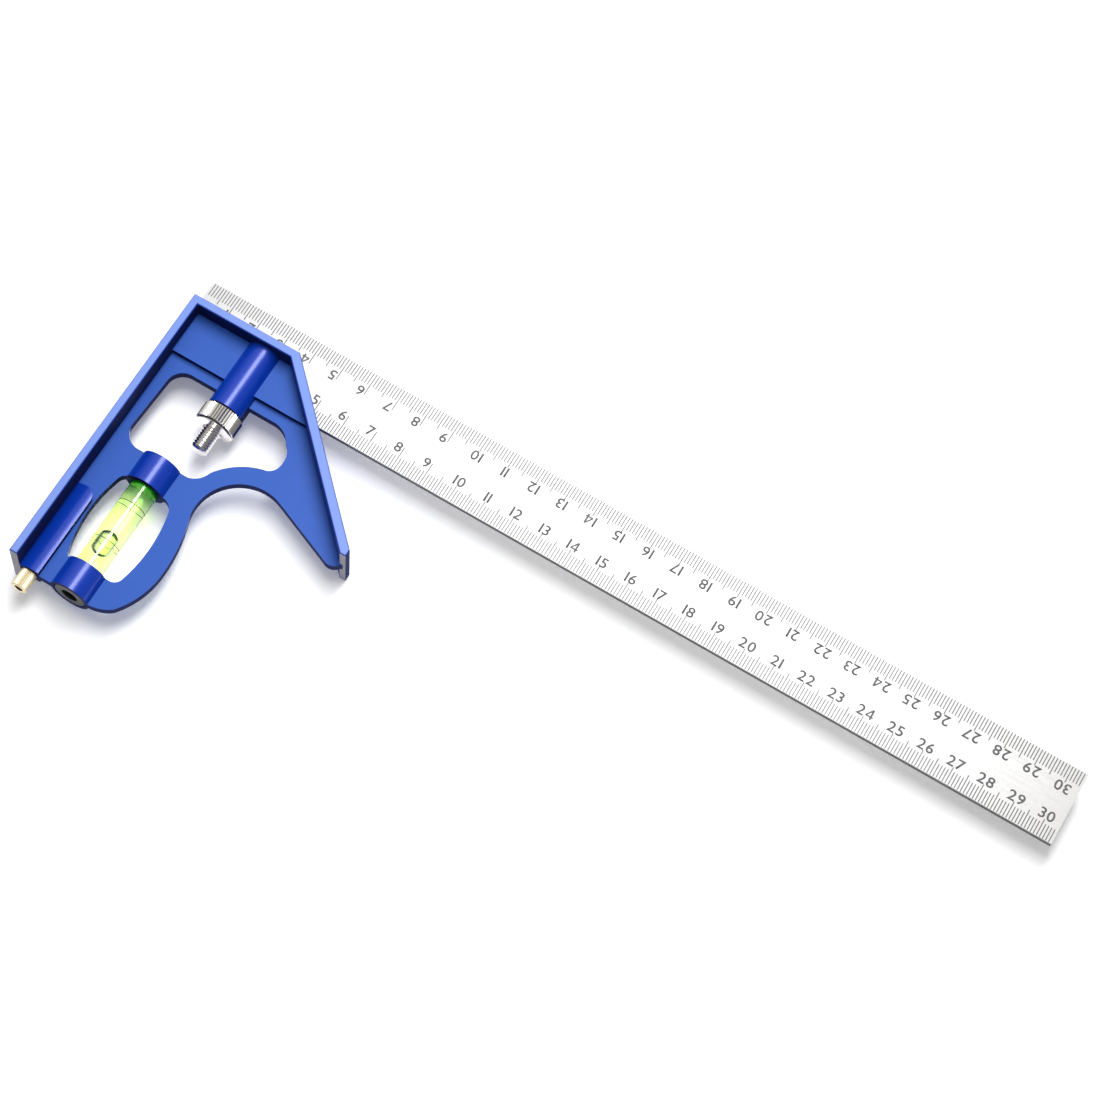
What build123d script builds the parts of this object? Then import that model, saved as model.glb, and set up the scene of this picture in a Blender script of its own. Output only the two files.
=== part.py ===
from build123d import *
import os

# Combination square: a head that carries a steel rule, a clamp, a spirit level and a scriber.
# Design axes, in millimetres: X runs along the rule from the head's 90 degree face, Y runs up
# across the rule from 0 at its upper edge, and Z stands out of the numbered face, from 0 at
# the head's underside. Every solid is moved to the frame's origin as it is written.

# ---- driving dimensions ----
HEAD_THICK = 20.0          # across the rims
MID_Z = HEAD_THICK / 2     # plane of the rule, the clamp, the level and the scriber
WEB_HALF = 1.5             # half the web's thickness
CHEEK_HALF = 3.4           # half the thickness over the rule's slot
HEAD_TOP_Y = -10.1         # outer face of the top wall
HEAD_BOTTOM_Y = -110.5     # lower end of the 90 degree face
RIM_WALL = 2.7             # top wall and 90 degree wall
RIM_WALL_45 = 3.15         # 45 degree wall, square to its face
TOP_WALL_LENGTH = 38.2
TIP_X = 85.5               # end of the 45 degree wall
TIP_Y = -59.8
CHEEK_EDGE_Y = -27.4       # step from the cheek down to the web
RIM_EDGE_BREAK = 0.35
WALL_OVERLAP = 0.5         # how far the web, cheek and bosses run into the walls
OUTER_45_SUM = TOP_WALL_LENGTH + HEAD_TOP_Y     # X + Y along the 45 degree face

BLADE_LENGTH = 305.0
BLADE_WIDTH = 25.0
BLADE_THICK = 2.0
BLADE_EDGE_BREAK = 0.15
SLOT_SIDE_GAP = 0.08
SLOT_EDGE_GAP = 0.05
GROOVE_WIDTH = 2.9
GROOVE_DEPTH = 0.8
GROOVE_LOW_Y = -13.95      # lower wall of the groove

BOLT_X = 27.0              # axis of the clamp
BOSS_RADIUS = 5.9
BOSS_RISE = 1.0            # half the straight part of the boss's section
BOSS_END_Y = -35.8
BOLT_HEAD_BORE_R = 4.2
BOLT_SHANK_BORE_R = 3.1
BOLT_BORE_STEP_Y = -33.0
BOLT_HEAD_R = 4.12
BOLT_HEAD_END_Y = -10.9
BOLT_SHOULDER_Y = -27.0
BOLT_FORK_ROOT_Y = -25.9
BOLT_SHANK_R = 3.0
BOLT_END_Y = -50.7
THREAD_DEPTH = 0.55
THREAD_CLEARANCE = 0.05
TOOTH_WIDTH = 2.0          # across the rule
TOOTH_HALF_LENGTH = 2.5    # along the rule
TOOTH_ROOT_DEPTH = 1.0     # below the rule, inside the fork
TOOTH_SIDE_GAP = 0.02
TOOTH_TOP_GAP = 0.1
BEARING_GAP = 0.03         # under the nut and under the scriber's knob
NUT_RADIUS = 6.7
NUT_LENGTH = 7.2
NUT_KNURL_TEETH = 44
NUT_KNURL_DEPTH = 0.35
NUT_EDGE_BREAK = 0.5
SPRING_WIRE_R = 0.42
SPRING_MEAN_R = 3.62
SPRING_TURNS = 4
SPRING_END_GAP = 0.05

LEVEL_X = 20.4             # axis of the spirit level
LEVEL_BOSS_R = 6.7
LEVEL_BOSS_ENDS = ((-60.2, -69.9), (-100.8, HEAD_BOTTOM_Y))
LEVEL_BORE_R = 4.75
LEVEL_BORE_TOP_Y = -62.0
LEVEL_PLUG_R = 5.5
LEVEL_PLUG_TOP_Y = -105.5
LEVEL_PLUG_HOLE_R = 2.75
LEVEL_PLUG_WALL = 1.2
LEVEL_PLUG_EDGE_BREAK = 0.4
VIAL_RADIUS = 4.7
VIAL_BORE_R = 3.6
VIAL_TOP_Y = -62.8
VIAL_END_GAP = 0.4         # from the tube to the plug
VIAL_END_WALL = 1.2
VIAL_CAP_LENGTH = 8.0
BUBBLE_LENGTH = 8.8
BUBBLE_RADIUS = 2.6
BUBBLE_Y = -91.6
BUBBLE_SKIN = 0.15         # liquid left over the bubble
PAD_GAP = 0.05

SCRIBER_X = 6.35
SCRIBER_BOSS_CREST_X = 8.15   # where the boss is thickest, falling off towards the wall
SCRIBER_BOSS_CREST = 3.7   # half its thickness there
SCRIBER_BOSS_R = 8.6
SCRIBER_BOSS_SIDE_X = 9.65
SCRIBER_BOSS_TOP_Y = -79.2
SCRIBER_BOSS_CORNER = 3.6  # round at its upper corner, seen from above
SCRIBER_HOLE_R = 1.35
SCRIBER_HOLE_END_Y = -84.0
BUSH_RADIUS = 2.2
BUSH_LENGTH = 7.0
NEEDLE_RADIUS = 1.2
NEEDLE_TIP_Y = -86.0
NEEDLE_POINT = 7.0
NEEDLE_TIP_R = 0.12
NEEDLE_GRIP_GAP = 0.03
NEEDLE_IN_KNOB = 3.0
KNOB_RADIUS = 2.6
KNOB_LENGTH = 6.1
KNOB_TEETH = 26
KNOB_KNURL_DEPTH = 0.18
KNOB_EDGE_BREAK = 0.3
KNOB_RECESS_R = 1.5
KNOB_RECESS_DEPTH = 1.6

VIAL_END_Y = LEVEL_PLUG_TOP_Y + VIAL_END_GAP
KNOB_END_Y = HEAD_BOTTOM_Y - KNOB_LENGTH

# ---- frame: origin at the middle of the underside of the bounding box ----
ORIGIN = Pos(-BLADE_LENGTH / 2, -KNOB_END_Y / 2, 0)


def plate(outline, low_z, high_z):
    """Flat outline, given as a face on the XY plane, raised between two heights."""
    return Pos(0, 0, low_z) * extrude(outline, amount=high_z - low_z)


def centred_plate(outline, half_thickness):
    """Flat outline raised equally on both sides of the rule's plane."""
    return plate(outline, MID_Z - half_thickness, MID_Z + half_thickness)


def bar_y(x, radius, y_high, y_low, z=MID_Z):
    """Round bar along Y between two values of Y."""
    length = y_high - y_low
    return Pos(x, y_low + length / 2, z) * Rot(90, 0, 0) * Cylinder(radius, length)


def box_between(x, y, z):
    """Box given by its low and high values on each axis."""
    size = (x[1] - x[0], y[1] - y[0], z[1] - z[0])
    centre = ((x[0] + x[1]) / 2, (y[0] + y[1]) / 2, (z[0] + z[1]) / 2)
    return Pos(*centre) * Box(*size)


def polar_point(radius, angle):
    """Point on a circle, as a pair, with the angle in degrees."""
    spot = Vector(radius, 0, 0).rotate(Axis.Z, angle)
    return (spot.X, spot.Y)


def toothed_bar(x, radius, teeth, depth, y_high, y_low, end_break):
    """Straight-knurled bar along Y: V grooves round a cylinder, with both rims broken."""
    points = []
    for index in range(teeth):
        points.append(polar_point(radius, 360 * index / teeth))
        points.append(polar_point(radius - depth, 360 * (index + 0.5) / teeth))
    knurl = extrude(make_face(Polyline(*points, close=True)), amount=y_high - y_low)
    bar = Pos(x, y_high, MID_Z) * Rot(90, 0, 0) * knurl
    length = y_high - y_low
    cone = chamfer(Cylinder(radius, length).edges().filter_by(GeomType.CIRCLE), end_break)
    return bar & (Pos(x, y_low + length / 2, MID_Z) * Rot(90, 0, 0) * cone)


# ---- outlines of the head ----
def rim_outline():
    """Outer edge of the three walls, closed along their inner edge."""
    inner_45_sum = OUTER_45_SUM - RIM_WALL_45 * 2 ** 0.5
    inner_y = HEAD_TOP_Y - RIM_WALL
    points = [
        (0, HEAD_BOTTOM_Y),
        (0, HEAD_TOP_Y),
        (TOP_WALL_LENGTH, HEAD_TOP_Y),
        (TIP_X, OUTER_45_SUM - TIP_X),
        (TIP_X, TIP_Y),
        (inner_45_sum - TIP_Y, TIP_Y),
        (inner_45_sum - inner_y, inner_y),
        (RIM_WALL, inner_y),
        (RIM_WALL, HEAD_BOTTOM_Y),
    ]
    return make_face(Polyline(*points, close=True))


def web_outline():
    """The whole flat of the head inside the walls' outer faces, with the arc and the lobe."""
    left_x = WALL_OVERLAP
    top_y = HEAD_TOP_Y - WALL_OVERLAP
    right_x = TIP_X - WALL_OVERLAP
    slant_sum = OUTER_45_SUM - 1.4 * WALL_OVERLAP
    lobe_foot = (26.5, HEAD_BOTTOM_Y)
    lobe_corner = (34.4, -107.8)
    lobe_side = (40.5, -90.0)
    neck = (37.6, -72.0)
    arc_end = (57.8, -52.75)
    leg_end = (78.6, -61.3)
    leg_tip = (83.7, -60.3)
    edge = Curve() + [
        Polyline((left_x, HEAD_BOTTOM_Y), (left_x, top_y), (slant_sum - top_y, top_y),
                 (right_x, slant_sum - right_x), (right_x, TIP_Y + 0.3), leg_tip),
        ThreePointArc(leg_tip, (81.3, -61.85), leg_end),
        Line(leg_end, arc_end),
        ThreePointArc(arc_end, (41.2, -56.1), neck),
        ThreePointArc(neck, (39.75, -80.5), lobe_side),
        ThreePointArc(lobe_side, (38.7, -100.2), lobe_corner),
        ThreePointArc(lobe_corner, (31.0, -109.7), lobe_foot),
        Line(lobe_foot, (left_x, HEAD_BOTTOM_Y)),
    ]
    return make_face(edge)


def cutout_outline():
    """Upper cut-out, where the nut is reached."""
    start = (12.4, -30.9)
    top_right = (41.5, -30.9)
    shoulder = (48.6, -34.8)
    far_right = (51.3, -42.2)
    crest = (47.5, -46.0)
    dip = (34.6, -55.4)
    foot_right = (29.7, -60.3)
    foot_left = (12.5, -60.3)
    side_low = (5.7, -54.5)
    side_high = (6.6, -36.5)
    edge = Curve() + [
        Line(start, top_right),
        ThreePointArc(top_right, (45.8, -32.0), shoulder),
        ThreePointArc(shoulder, (51.0, -38.2), far_right),
        ThreePointArc(far_right, (50.1, -44.8), crest),
        ThreePointArc(crest, (39.8, -49.8), dip),
        ThreePointArc(dip, (32.6, -58.7), foot_right),
        Line(foot_right, foot_left),
        ThreePointArc(foot_left, (7.7, -58.8), side_low),
        Line(side_low, side_high),
        ThreePointArc(side_high, (8.2, -32.5), start),
    ]
    return make_face(edge)


def window_outline():
    """Oval window of the spirit level."""
    top_left = (13.6, -69.6)
    side_left_high = (11.9, -72.0)
    side_left_low = (12.6, -99.2)
    foot_left = (14.2, -100.8)
    foot_right = (28.4, -100.8)
    side_right_low = (31.3, -98.2)
    side_right_high = (31.1, -73.2)
    top_right = (27.8, -69.9)
    edge = Curve() + [
        ThreePointArc(top_left, (12.5, -70.5), side_left_high),
        ThreePointArc(side_left_high, (10.25, -85.4), side_left_low),
        ThreePointArc(side_left_low, (13.2, -100.3), foot_left),
        Line(foot_left, foot_right),
        ThreePointArc(foot_right, (30.3, -100.0), side_right_low),
        ThreePointArc(side_right_low, (32.75, -85.5), side_right_high),
        ThreePointArc(side_right_high, (29.7, -71.0), top_right),
        Line(top_right, top_left),
    ]
    return make_face(edge)


def cheek_outline():
    """Thicker part of the web that holds the rule's slot, kept inside the walls."""
    left_x = WALL_OVERLAP
    top_y = HEAD_TOP_Y - WALL_OVERLAP
    slant_sum = OUTER_45_SUM - 2 * WALL_OVERLAP
    points = [
        (left_x, CHEEK_EDGE_Y),
        (left_x, top_y),
        (slant_sum - top_y, top_y),
        (slant_sum - CHEEK_EDGE_Y, CHEEK_EDGE_Y),
    ]
    return make_face(Polyline(*points, close=True))


def bolt_boss():
    """Boss with an obround section, from the top wall into the upper cut-out."""
    section = SlotOverall(2 * (BOSS_RADIUS + BOSS_RISE), 2 * BOSS_RADIUS, rotation=90)
    start_y = HEAD_TOP_Y - WALL_OVERLAP
    boss = extrude(section, amount=start_y - BOSS_END_Y)
    return Pos(BOLT_X, start_y, MID_Z) * Rot(90, 0, 0) * boss


def scriber_boss():
    """Boss along the 90 degree wall: a low round on each side, upright along its inner side."""
    outline = Curve() + [
        Polyline((SCRIBER_BOSS_SIDE_X, SCRIBER_BOSS_TOP_Y - SCRIBER_BOSS_CORNER),
                 (SCRIBER_BOSS_SIDE_X, HEAD_BOTTOM_Y), (WALL_OVERLAP, HEAD_BOTTOM_Y),
                 (WALL_OVERLAP, SCRIBER_BOSS_TOP_Y),
                 (SCRIBER_BOSS_SIDE_X - SCRIBER_BOSS_CORNER, SCRIBER_BOSS_TOP_Y)),
        RadiusArc((SCRIBER_BOSS_SIDE_X - SCRIBER_BOSS_CORNER, SCRIBER_BOSS_TOP_Y),
                  (SCRIBER_BOSS_SIDE_X, SCRIBER_BOSS_TOP_Y - SCRIBER_BOSS_CORNER),
                  SCRIBER_BOSS_CORNER),
    ]
    block = centred_plate(make_face(outline), SCRIBER_BOSS_CREST)
    sink = SCRIBER_BOSS_R - SCRIBER_BOSS_CREST
    upper = bar_y(SCRIBER_BOSS_CREST_X, SCRIBER_BOSS_R, 0, 2 * HEAD_BOTTOM_Y, MID_Z - sink)
    lower = bar_y(SCRIBER_BOSS_CREST_X, SCRIBER_BOSS_R, 0, 2 * HEAD_BOTTOM_Y, MID_Z + sink)
    return block & upper & lower


def head_casting():
    rim = centred_plate(rim_outline(), HEAD_THICK / 2)
    rim = chamfer(rim.edges().filter_by(Plane.XY), RIM_EDGE_BREAK)
    web = centred_plate(web_outline(), WEB_HALF)
    web -= centred_plate(cutout_outline(), HEAD_THICK)
    web -= centred_plate(window_outline(), HEAD_THICK)
    head = rim + web + centred_plate(cheek_outline(), CHEEK_HALF) + bolt_boss()
    for high_y, low_y in LEVEL_BOSS_ENDS:
        head += bar_y(LEVEL_X, LEVEL_BOSS_R, high_y, low_y)
    head += scriber_boss()
    # rule's slot, open along the top and through both end walls
    slot_low_y = -BLADE_WIDTH - SLOT_EDGE_GAP
    slot_half = BLADE_THICK / 2 + SLOT_SIDE_GAP
    head -= box_between((-1, TIP_X), (slot_low_y, 0), (MID_Z - slot_half, MID_Z + slot_half))
    # clamp bore, stepped to hold the spring
    head -= bar_y(BOLT_X, BOLT_HEAD_BORE_R, 0, BOLT_BORE_STEP_Y)
    head -= bar_y(BOLT_X, BOLT_SHANK_BORE_R, 0, BOSS_END_Y - 1)
    # level bore, blind at the top, with a wider seat for the plug
    head -= bar_y(LEVEL_X, LEVEL_BORE_R, LEVEL_BORE_TOP_Y, HEAD_BOTTOM_Y - 1)
    head -= bar_y(LEVEL_X, LEVEL_PLUG_R, LEVEL_PLUG_TOP_Y, HEAD_BOTTOM_Y - 1)
    # scriber hole, with a wider seat for its bush
    head -= bar_y(SCRIBER_X, SCRIBER_HOLE_R, SCRIBER_HOLE_END_Y, HEAD_BOTTOM_Y - 1)
    head -= bar_y(SCRIBER_X, BUSH_RADIUS, HEAD_BOTTOM_Y + BUSH_LENGTH, HEAD_BOTTOM_Y - 1)
    return head


def blade():
    low_z = MID_Z - BLADE_THICK / 2
    rule = box_between((0, BLADE_LENGTH), (-BLADE_WIDTH, 0), (low_z, low_z + BLADE_THICK))
    rule = chamfer(rule.edges().filter_by(Axis.X), BLADE_EDGE_BREAK)
    groove_y = (GROOVE_LOW_Y, GROOVE_LOW_Y + GROOVE_WIDTH)
    return rule - box_between((-1, BLADE_LENGTH + 1), groove_y, (low_z - 1, low_z + GROOVE_DEPTH))


def lock_bolt():
    """Forked head round the rule with a tooth in its groove, and a ring-grooved thread."""
    fork = bar_y(BOLT_X, BOLT_HEAD_R, BOLT_HEAD_END_Y, BOLT_SHOULDER_Y)
    fork_half = BLADE_THICK / 2 + SLOT_SIDE_GAP
    reach = BOLT_HEAD_R + 1
    fork -= box_between((BOLT_X - reach, BOLT_X + reach), (BOLT_FORK_ROOT_Y, 0),
                        (MID_Z - fork_half, MID_Z + fork_half))
    tooth_low_y = GROOVE_LOW_Y + TOOTH_SIDE_GAP
    rule_under_z = MID_Z - BLADE_THICK / 2
    fork += box_between((BOLT_X - TOOTH_HALF_LENGTH, BOLT_X + TOOTH_HALF_LENGTH),
                        (tooth_low_y, tooth_low_y + TOOTH_WIDTH),
                        (rule_under_z - TOOTH_ROOT_DEPTH, rule_under_z + GROOVE_DEPTH - TOOTH_TOP_GAP))
    shank = bar_y(BOLT_X, BOLT_SHANK_R, BOLT_SHOULDER_Y, BOLT_END_Y)
    shank = chamfer(shank.edges().filter_by(GeomType.CIRCLE).sort_by(Axis.Y)[0], THREAD_DEPTH)
    return fork + shank


def lock_nut():
    """Knurled nut on the bolt's end, bearing on the end of the boss."""
    nut_high_y = BOSS_END_Y - BEARING_GAP
    nut_low_y = nut_high_y - NUT_LENGTH
    nut = toothed_bar(BOLT_X, NUT_RADIUS, NUT_KNURL_TEETH, NUT_KNURL_DEPTH,
                      nut_high_y, nut_low_y, NUT_EDGE_BREAK)
    return nut - bar_y(BOLT_X, BOLT_SHANK_R + THREAD_CLEARANCE, nut_high_y + 1, nut_low_y - 1)


def lock_spring():
    """Coil round the bolt, between the shoulder and the step of the bore."""
    end_space = SPRING_WIRE_R + SPRING_END_GAP
    height = BOLT_SHOULDER_Y - BOLT_BORE_STEP_Y - 2 * end_space
    path = Helix(height / SPRING_TURNS, height, SPRING_MEAN_R)
    section = Plane(path @ 0, z_dir=path % 0) * Circle(SPRING_WIRE_R)
    coil = sweep(section, path, is_frenet=True)
    return Pos(BOLT_X, BOLT_SHOULDER_Y - end_space, MID_Z) * Rot(90, 0, 0) * coil


def vial_tube():
    """Clear tube, open at its upper end."""
    tube = bar_y(LEVEL_X, VIAL_RADIUS, VIAL_TOP_Y, VIAL_END_Y)
    return tube - bar_y(LEVEL_X, VIAL_BORE_R, VIAL_TOP_Y + 1, VIAL_END_Y + VIAL_END_WALL)


def vial_cap():
    """Coloured plug that closes the tube's open upper end."""
    return bar_y(LEVEL_X, VIAL_BORE_R, VIAL_TOP_Y, VIAL_TOP_Y - VIAL_CAP_LENGTH)


def vial_liquid():
    """Liquid that fills the tube, less the bubble."""
    liquid = bar_y(LEVEL_X, VIAL_BORE_R, VIAL_TOP_Y - VIAL_CAP_LENGTH, VIAL_END_Y + VIAL_END_WALL)
    straight = BUBBLE_LENGTH / 2 - BUBBLE_RADIUS
    bubble_z = MID_Z + VIAL_BORE_R - BUBBLE_RADIUS - BUBBLE_SKIN
    bubble = bar_y(LEVEL_X, BUBBLE_RADIUS, BUBBLE_Y + straight, BUBBLE_Y - straight, bubble_z)
    for end_y in (BUBBLE_Y + straight, BUBBLE_Y - straight):
        bubble += Pos(LEVEL_X, end_y, bubble_z) * Sphere(BUBBLE_RADIUS)
    return liquid - bubble


def vial_pad():
    """Soft disc at the blind end of the level's bore."""
    return bar_y(LEVEL_X, LEVEL_BORE_R - PAD_GAP, LEVEL_BORE_TOP_Y, VIAL_TOP_Y)


def vial_plug():
    """Hollow plug that holds the level in its bore."""
    plug = bar_y(LEVEL_X, LEVEL_PLUG_R, LEVEL_PLUG_TOP_Y, HEAD_BOTTOM_Y)
    low_edge = plug.edges().filter_by(GeomType.CIRCLE).sort_by(Axis.Y)[0]
    plug = chamfer(low_edge, LEVEL_PLUG_EDGE_BREAK)
    hole_top_y = LEVEL_PLUG_TOP_Y - LEVEL_PLUG_WALL
    return plug - bar_y(LEVEL_X, LEVEL_PLUG_HOLE_R, hole_top_y, HEAD_BOTTOM_Y - 1)


def scriber_bush():
    """Sleeve that grips the scriber."""
    bush = bar_y(SCRIBER_X, BUSH_RADIUS, HEAD_BOTTOM_Y + BUSH_LENGTH, HEAD_BOTTOM_Y)
    return bush - bar_y(SCRIBER_X, NEEDLE_RADIUS + NEEDLE_GRIP_GAP, 0, HEAD_BOTTOM_Y - 1)


def scriber_needle():
    """Hardened needle, its blunt end in the knob."""
    cone_low_y = NEEDLE_TIP_Y - NEEDLE_POINT
    needle = bar_y(SCRIBER_X, NEEDLE_RADIUS, cone_low_y, HEAD_BOTTOM_Y - NEEDLE_IN_KNOB)
    point = Cone(NEEDLE_RADIUS, NEEDLE_TIP_R, NEEDLE_POINT)
    return needle + Pos(SCRIBER_X, cone_low_y + NEEDLE_POINT / 2, MID_Z) * Rot(-90, 0, 0) * point


def scriber_knob():
    """Knurled knob with a recess in its end, pressed on the needle."""
    knob_high_y = HEAD_BOTTOM_Y - BEARING_GAP
    knob = toothed_bar(SCRIBER_X, KNOB_RADIUS, KNOB_TEETH, KNOB_KNURL_DEPTH,
                       knob_high_y, KNOB_END_Y, KNOB_EDGE_BREAK)
    knob -= bar_y(SCRIBER_X, NEEDLE_RADIUS, 0, HEAD_BOTTOM_Y - NEEDLE_IN_KNOB)
    return knob - bar_y(SCRIBER_X, KNOB_RECESS_R, KNOB_END_Y + KNOB_RECESS_DEPTH, KNOB_END_Y - 1)


PIECES = {
    "head_casting": head_casting,
    "blade": blade,
    "lock_bolt": lock_bolt,
    "lock_nut": lock_nut,
    "lock_spring": lock_spring,
    "vial_tube": vial_tube,
    "vial_cap": vial_cap,
    "vial_liquid": vial_liquid,
    "vial_pad": vial_pad,
    "vial_plug": vial_plug,
    "scriber_bush": scriber_bush,
    "scriber_needle": scriber_needle,
    "scriber_knob": scriber_knob,
}

os.makedirs("parts", exist_ok=True)
for name, make in PIECES.items():
    export_step(ORIGIN * make(), "parts/" + name + ".step")
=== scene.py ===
import math

import bpy
import bmesh
from mathutils import Matrix, Vector
from mathutils.geometry import tessellate_polygon


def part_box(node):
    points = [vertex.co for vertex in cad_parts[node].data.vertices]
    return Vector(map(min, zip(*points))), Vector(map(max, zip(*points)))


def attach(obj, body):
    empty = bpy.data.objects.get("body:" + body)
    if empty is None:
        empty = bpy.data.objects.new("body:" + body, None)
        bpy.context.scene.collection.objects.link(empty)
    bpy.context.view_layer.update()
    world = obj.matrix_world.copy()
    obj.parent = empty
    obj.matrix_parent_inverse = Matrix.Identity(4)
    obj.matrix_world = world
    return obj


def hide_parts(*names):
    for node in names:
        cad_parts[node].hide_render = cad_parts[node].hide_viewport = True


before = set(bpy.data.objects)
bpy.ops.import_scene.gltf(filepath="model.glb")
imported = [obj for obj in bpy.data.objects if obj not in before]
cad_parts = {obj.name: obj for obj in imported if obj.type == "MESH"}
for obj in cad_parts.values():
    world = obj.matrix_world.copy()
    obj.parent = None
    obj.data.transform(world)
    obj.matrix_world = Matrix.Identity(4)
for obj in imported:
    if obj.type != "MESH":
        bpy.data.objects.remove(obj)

# Combination square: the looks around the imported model. Lengths are in metres, in the model's
# own frame: X along the rule, Y up across it, Z out of the numbered face.

MM = 0.001
TURN = 2 * math.pi
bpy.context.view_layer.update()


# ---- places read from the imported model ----
def middle(node):
    """Centre of a CAD node's box."""
    low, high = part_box(node)
    return (low + high) / 2


rule_low, rule_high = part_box("blade")
head_low, head_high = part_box("head_casting")
nut_low, nut_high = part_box("lock_nut")
bolt_low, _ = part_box("lock_bolt")
knob_low, knob_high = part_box("scriber_knob")
tube_low, tube_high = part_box("vial_tube")
liquid_low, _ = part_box("vial_liquid")
cap_low, cap_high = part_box("vial_cap")


# ---- mesh helpers ----
def add_mesh(name, bm, body, material, smooth_angle=None):
    """Object made from a bmesh, riding on a body, with one material."""
    bmesh.ops.recalc_face_normals(bm, faces=bm.faces)
    mesh = bpy.data.meshes.new(name)
    bm.to_mesh(mesh)
    bm.free()
    piece = bpy.data.objects.new(name, mesh)
    bpy.context.scene.collection.objects.link(piece)
    mesh.materials.append(material)
    if smooth_angle is not None:
        mesh.polygons.foreach_set("use_smooth", [True] * len(mesh.polygons))
        mesh.set_sharp_from_angle(angle=math.radians(smooth_angle))
    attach(piece, body)
    return piece


def ring_of(bm, centre, radius, y, segments, ripple):
    """One ring of a turned piece about a line along Y, or a single point at radius 0."""
    if radius == 0:
        return [bm.verts.new((centre.x, y, centre.z))]
    ring = []
    for index in range(segments):
        angle = TURN * index / segments
        r = radius - (ripple(angle, y) if ripple else 0.0)
        ring.append(bm.verts.new((centre.x + r * math.sin(angle), y, centre.z + r * math.cos(angle))))
    return ring


def turned(centre, profile, segments, closed=False, ripple=None, bm=None):
    """Surface of revolution about a line along Y. profile holds (radius, y) pairs; a pair marked
    with a third value takes the ripple, which cuts into the radius."""
    bm = bm or bmesh.new()
    rings = []
    for point in profile:
        cut = ripple if len(point) > 2 else None
        rings.append(ring_of(bm, centre, point[0], point[1], segments, cut))
    if closed:
        rings.append(rings[0])
    for first, second in zip(rings, rings[1:]):
        for index in range(segments):
            after = (index + 1) % segments
            corners = [first[index % len(first)]]
            if len(first) > 1:
                corners.append(first[after])
            corners.append(second[after % len(second)])
            if len(second) > 1:
                corners.append(second[index])
            if len(corners) > 2:
                bm.faces.new(corners)
    return bm


def add_box(bm, low, high):
    """Closed box between two corners, added to a bmesh."""
    size = Vector(high) - Vector(low)
    centre = (Vector(high) + Vector(low)) / 2
    place = Matrix.Translation(centre) @ Matrix.Diagonal((*size, 1.0))
    bmesh.ops.create_cube(bm, size=1.0, matrix=place)


# ---- shader helpers ----
def blank_material(name):
    """Material with its tree, its Principled shader and its output node."""
    material = bpy.data.materials.new(name)
    material.use_nodes = True
    tree = material.node_tree
    shader = tree.nodes["Principled BSDF"]
    output = tree.nodes["Material Output"]
    return material, tree, shader, output


def add_node(tree, kind, settings=None, **inputs):
    """Node with its settings, and its inputs given by name as values or as sockets to link."""
    made = tree.nodes.new(kind)
    for key, value in (settings or {}).items():
        setattr(made, key, value)
    for key, value in inputs.items():
        socket = made.inputs[key.replace("_", " ")]
        if isinstance(value, bpy.types.NodeSocket):
            tree.links.new(value, socket)
        else:
            socket.default_value = value
    return made


def part_coordinates(tree, scale=(1, 1, 1)):
    """Coordinates fixed to the part, stretched by scale."""
    place = add_node(tree, "ShaderNodeTexCoord")
    stretch = add_node(tree, "ShaderNodeMapping", Vector=place.outputs["Object"])
    stretch.inputs["Scale"].default_value = scale
    return stretch.outputs["Vector"]


def noise(tree, vector, scale, detail=3.0, roughness=0.55):
    """Noise value from 0 to 1."""
    made = add_node(tree, "ShaderNodeTexNoise", Vector=vector, Scale=scale, Detail=detail,
                    Roughness=roughness)
    return made.outputs["Fac"]


def remap(tree, value, from_low, from_high, to_low, to_high):
    """Value stretched from one range to another, and kept inside it."""
    made = add_node(tree, "ShaderNodeMapRange", Value=value)
    made.inputs["From Min"].default_value = from_low
    made.inputs["From Max"].default_value = from_high
    made.inputs["To Min"].default_value = to_low
    made.inputs["To Max"].default_value = to_high
    return made.outputs["Result"]


def colour_mix(tree, factor, first, second):
    """Colour between two colours, given as values or sockets."""
    made = add_node(tree, "ShaderNodeMix", {"data_type": "RGBA"})
    tree.links.new(factor, made.inputs[0])
    for socket, value in ((made.inputs[6], first), (made.inputs[7], second)):
        if isinstance(value, bpy.types.NodeSocket):
            tree.links.new(value, socket)
        else:
            socket.default_value = (*value, 1.0)
    return made.outputs[2]


def bumped(tree, shader, height, strength, distance):
    """Bump from a height value, on the shader's normal."""
    made = add_node(tree, "ShaderNodeBump", Height=height, Strength=strength, Distance=distance)
    tree.links.new(made.outputs["Normal"], shader.inputs["Normal"])


# ---- materials ----
WALL_THICK = 2.75 * MM      # of the head's 90 degree wall
TIP_FACE = 2.3 * MM         # from the head's far corner back to the start of the tip's end face
CHEEK_REACH = 3.5 * MM      # just over half the thickness of the cheek by the rule
RIM_DEPTH = 0.12 * MM       # how far down from the head's outermost face the rim's colour reaches
FLAT_DULLNESS = 0.16        # roughness that the flats, rims and pockets have over the bosses
POCKET_DULLNESS = 0.38      # roughness that the pockets have over that
END_SHADE_FROM = 85 * MM         # from the rule's middle to where the painted shade on its ends starts
RIM_BLUE = (0.165, 0.26, 0.66)
# Greys painted on the rule as shade: on its ends, and on its sides and end faces.
RULE_END_SHADE = (0.48, 0.475, 0.465)
RULE_SIDE_SHADE = (0.10, 0.10, 0.105)
CAP_SHADE_LENGTH = 4.5 * MM     # of the darker green painted into the liquid next to the cap as shade


def above(tree, value, limit, blur):
    """1 where a value is past a limit, 0 where it isn't, with a narrow blur between them."""
    return remap(tree, value, limit - blur, limit + blur, 0.0, 1.0)


def math_of(tree, operation, first, second=None):
    """Result of one arithmetic step on sockets or plain numbers."""
    made = add_node(tree, "ShaderNodeMath", {"operation": operation})
    for socket, value in zip(made.inputs, (first, second)):
        if isinstance(value, bpy.types.NodeSocket):
            tree.links.new(value, socket)
        elif value is not None:
            socket.default_value = value
    return made.outputs[0]


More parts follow.
